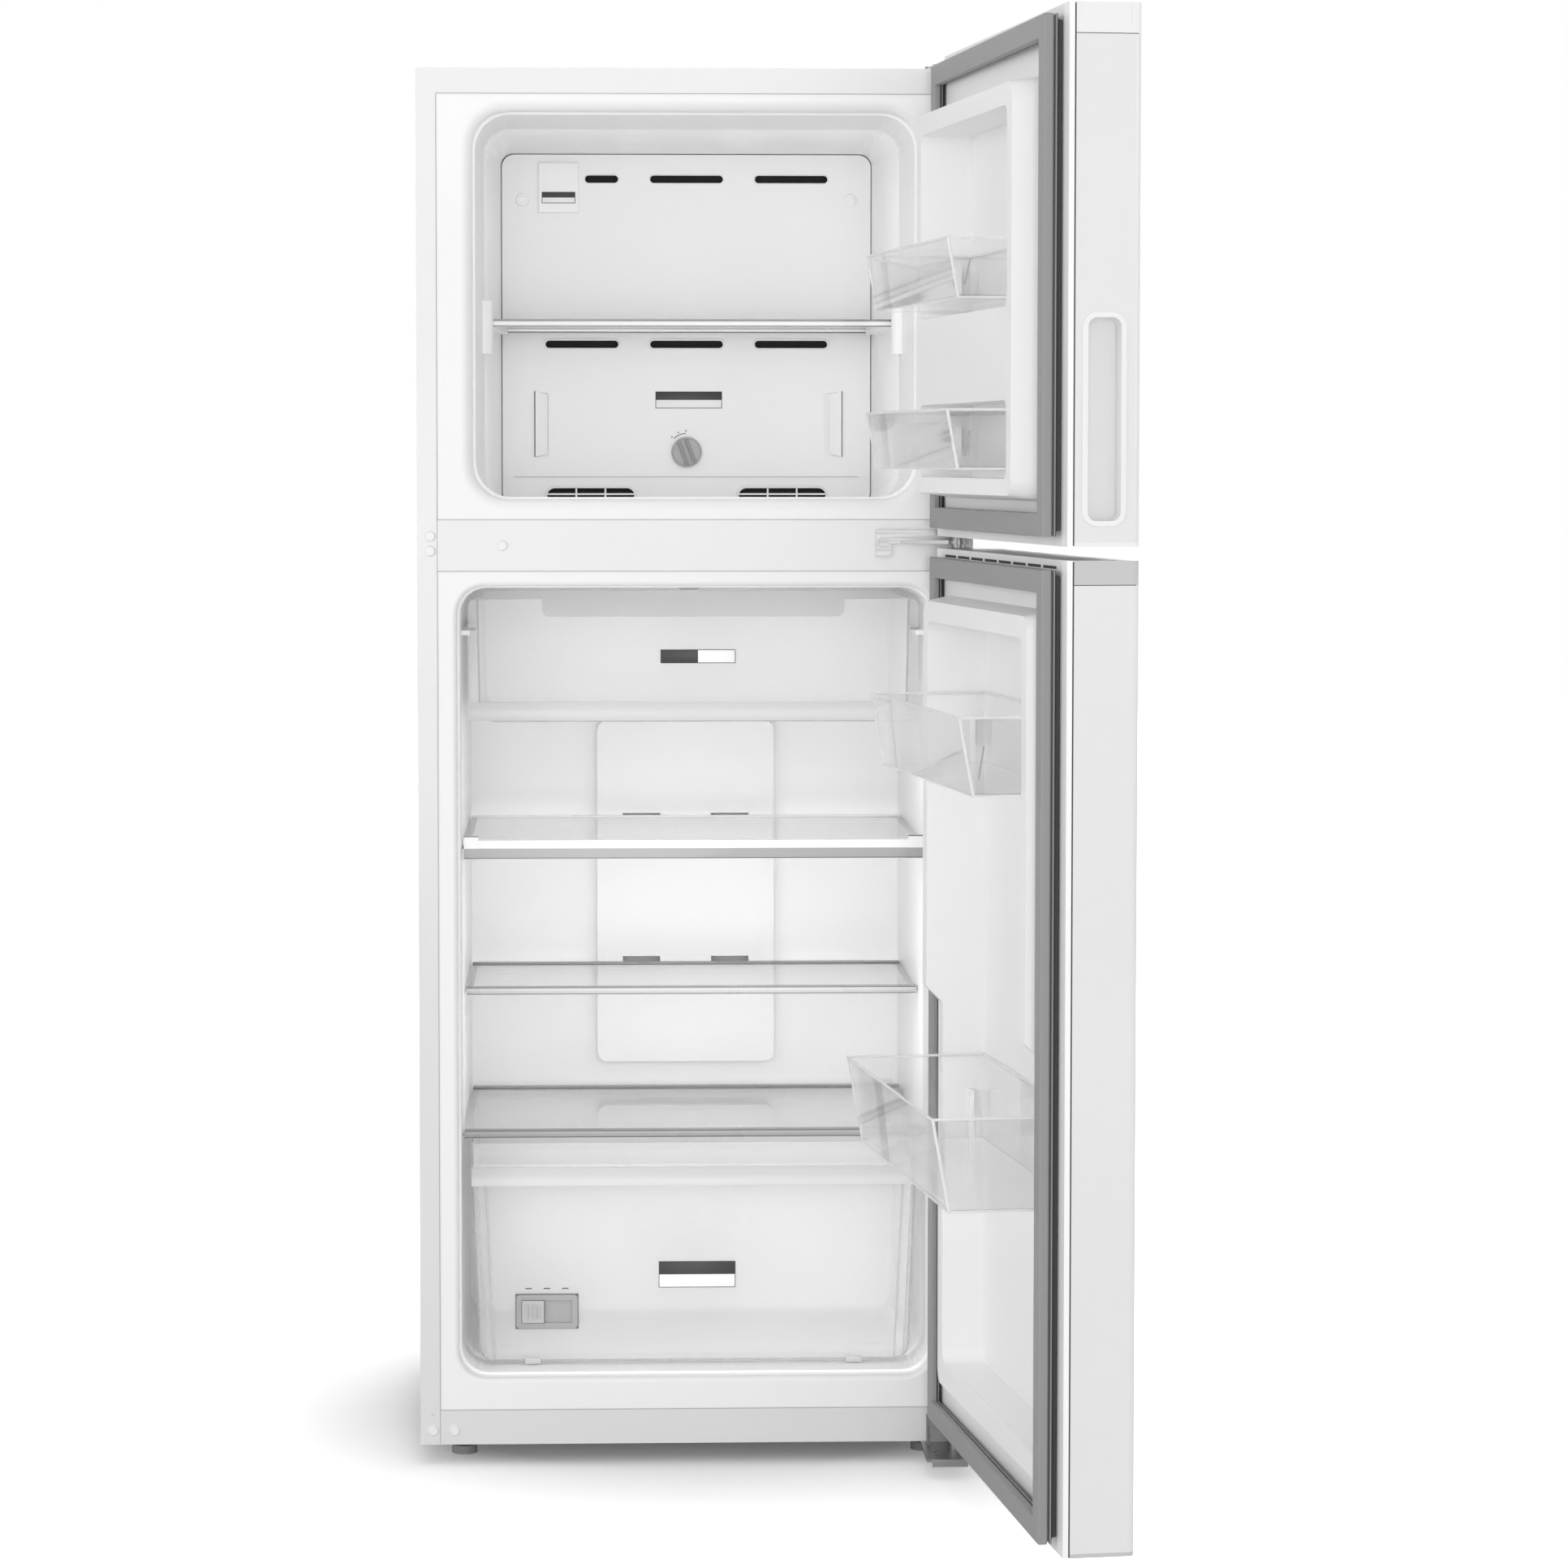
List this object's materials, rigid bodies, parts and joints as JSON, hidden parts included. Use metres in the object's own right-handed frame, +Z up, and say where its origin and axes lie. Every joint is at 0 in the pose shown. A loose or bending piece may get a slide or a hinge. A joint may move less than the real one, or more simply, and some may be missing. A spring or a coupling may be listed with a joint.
{
  "type": "top freezer refrigerator",
  "caption": "Upright refrigerator with a freezer above: two hinged doors with bins, glass shelves, a vegetable drawer and a shallow upper drawer.",
  "frame": {"origin": "on the floor, under the middle of the cabinet's front face", "axes": "+X to the right as one faces the open cabinet, +Y from the front to the back, +Z up"},
  "size_m": [0.6973, 1.1784, 1.511],
  "materials": {
    "white_steel": "smooth semi-gloss white paint",
    "grey_steel": "plain zinc-grey sheet",
    "hinge_steel": "satin nickel",
    "liner": "thermoformed satin white",
    "foam": "rigid insulating foam",
    "plug_white": "smooth white",
    "panel_white": "moulded white",
    "coil_metal": "mill finish",
    "motor_metal": "dark paint",
    "compressor_black": "satin black paint",
    "black_plastic": "moulded black",
    "fan_plastic": "moulded grey",
    "clear_plastic": "clear moulded",
    "shelf_glass": "clear tempered",
    "trim_white": "smooth white",
    "lens": "frosted clear",
    "cap_grey": "satin grey",
    "gasket_grey": "soft satin grey",
    "bushing": "natural",
    "gland_rubber": "black"
  },
  "bodies": {
    "cabinet": {"air_duct_cover": "panel_white", "back_panel": "grey_steel", "base_frame": "grey_steel", "bottom_hinge": "hinge_steel", "bottom_rail": "white_steel", "cabinet_foam": "foam", "compressor": "compressor_black", "condenser": "coil_metal", "condenser_fan_motor": "motor_metal", "cord_gland": "gland_rubber", "crisper_shelf_glass": "shelf_glass", "crisper_shelf_trim": "trim_white", "drain_pan": "black_plastic", "evaporator_coil": "coil_metal", "evaporator_cover": "panel_white", "evaporator_fan_motor": "motor_metal", "freezer_liner": "liner", "freezer_shelf_glass": "shelf_glass", "freezer_shelf_trim": "trim_white", "fridge_liner": "liner", "hole_plugs": "plug_white", "icemaker_port_cover": "panel_white", "light_lens": "lens", "machine_cover": "grey_steel", "middle_hinge": "hinge_steel", "middle_rail": "white_steel", "middle_shelf_glass": "shelf_glass", "middle_shelf_trim": "trim_white", "outer_cabinet": "white_steel", "top_hinge": "hinge_steel", "upper_shelf_glass": "shelf_glass", "upper_shelf_trim": "trim_white"},
    "freezer_door": {"freezer_door_bushings": "bushing", "freezer_door_caps": "cap_grey", "freezer_door_foam": "foam", "freezer_door_gasket": "gasket_grey", "freezer_door_grip": "cap_grey", "freezer_door_liner": "liner", "freezer_door_skin": "white_steel", "freezer_lower_bin": "clear_plastic", "freezer_upper_bin": "clear_plastic"},
    "fridge_door": {"fridge_door_bushings": "bushing", "fridge_door_caps": "cap_grey", "fridge_door_foam": "foam", "fridge_door_gasket": "gasket_grey", "fridge_door_liner": "liner", "fridge_door_skin": "white_steel", "fridge_large_bin": "clear_plastic", "fridge_small_bin": "clear_plastic"},
    "crisper": {"crisper_drawer": "clear_plastic", "humidity_plate": "trim_white"},
    "humidity_control": {"humidity_slider": "trim_white"},
    "pantry": {"pantry_drawer": "clear_plastic"},
    "freezer_knob": {"freezer_control_knob": "trim_white"},
    "evaporator_fan": {"evaporator_fan": "fan_plastic"},
    "condenser_fan": {"condenser_fan": "fan_plastic"},
    "left_leg": {"left_leveling_leg": "black_plastic"},
    "right_leg": {"right_leveling_leg": "black_plastic"},
    "left_roller": {"left_rear_roller": "black_plastic"},
    "right_roller": {"right_rear_roller": "black_plastic"}
  },
  "joints": [
    {"name": "freezer_door_swing", "type": "hinge", "parent": "cabinet", "child": "freezer_door", "pos_m": [0.28, -0.033, 1.25], "axis": [0, 0, 1], "range_deg": [-97, 18]},
    {"name": "fridge_door_swing", "type": "hinge", "parent": "cabinet", "child": "fridge_door", "pos_m": [0.28, -0.033, 0.5], "axis": [0, 0, 1], "range_deg": [-97, 18]},
    {"name": "crisper_slide", "type": "slide", "parent": "cabinet", "child": "crisper", "axis": [0, -1, 0], "range_m": [0, 0.23]},
    {"name": "pantry_slide", "type": "slide", "parent": "cabinet", "child": "pantry", "axis": [0, -1, 0], "range_m": [0, 0.14]},
    {"name": "humidity_slide", "type": "slide", "parent": "crisper", "child": "humidity_control", "axis": [1, 0, 0], "range_m": [0, 0.03]},
    {"name": "freezer_knob_turn", "type": "hinge", "parent": "cabinet", "child": "freezer_knob", "pos_m": [0, 0.38, 1.09496], "axis": [0, 1, 0], "range_deg": [-135, 135]},
    {"name": "evaporator_fan_spin", "type": "hinge", "parent": "cabinet", "child": "evaporator_fan", "pos_m": [0, 0.416, 1.30636], "axis": [0, 1, 0], "continuous": true},
    {"name": "condenser_fan_spin", "type": "hinge", "parent": "cabinet", "child": "condenser_fan", "pos_m": [-0.092, 0.48, 0.124], "axis": [1, 0, 0], "continuous": true},
    {"name": "left_leg_turn", "type": "hinge", "parent": "cabinet", "child": "left_leg", "pos_m": [-0.252, 0.062, 0.02], "axis": [0, 0, 1], "continuous": true},
    {"name": "right_leg_turn", "type": "hinge", "parent": "cabinet", "child": "right_leg", "pos_m": [0.252, 0.062, 0.02], "axis": [0, 0, 1], "continuous": true},
    {"name": "left_roller_spin", "type": "hinge", "parent": "cabinet", "child": "left_roller", "pos_m": [-0.258, 0.514, 0.015], "axis": [1, 0, 0], "continuous": true},
    {"name": "right_roller_spin", "type": "hinge", "parent": "cabinet", "child": "right_roller", "pos_m": [0.258, 0.514, 0.015], "axis": [1, 0, 0], "continuous": true}
  ]
}
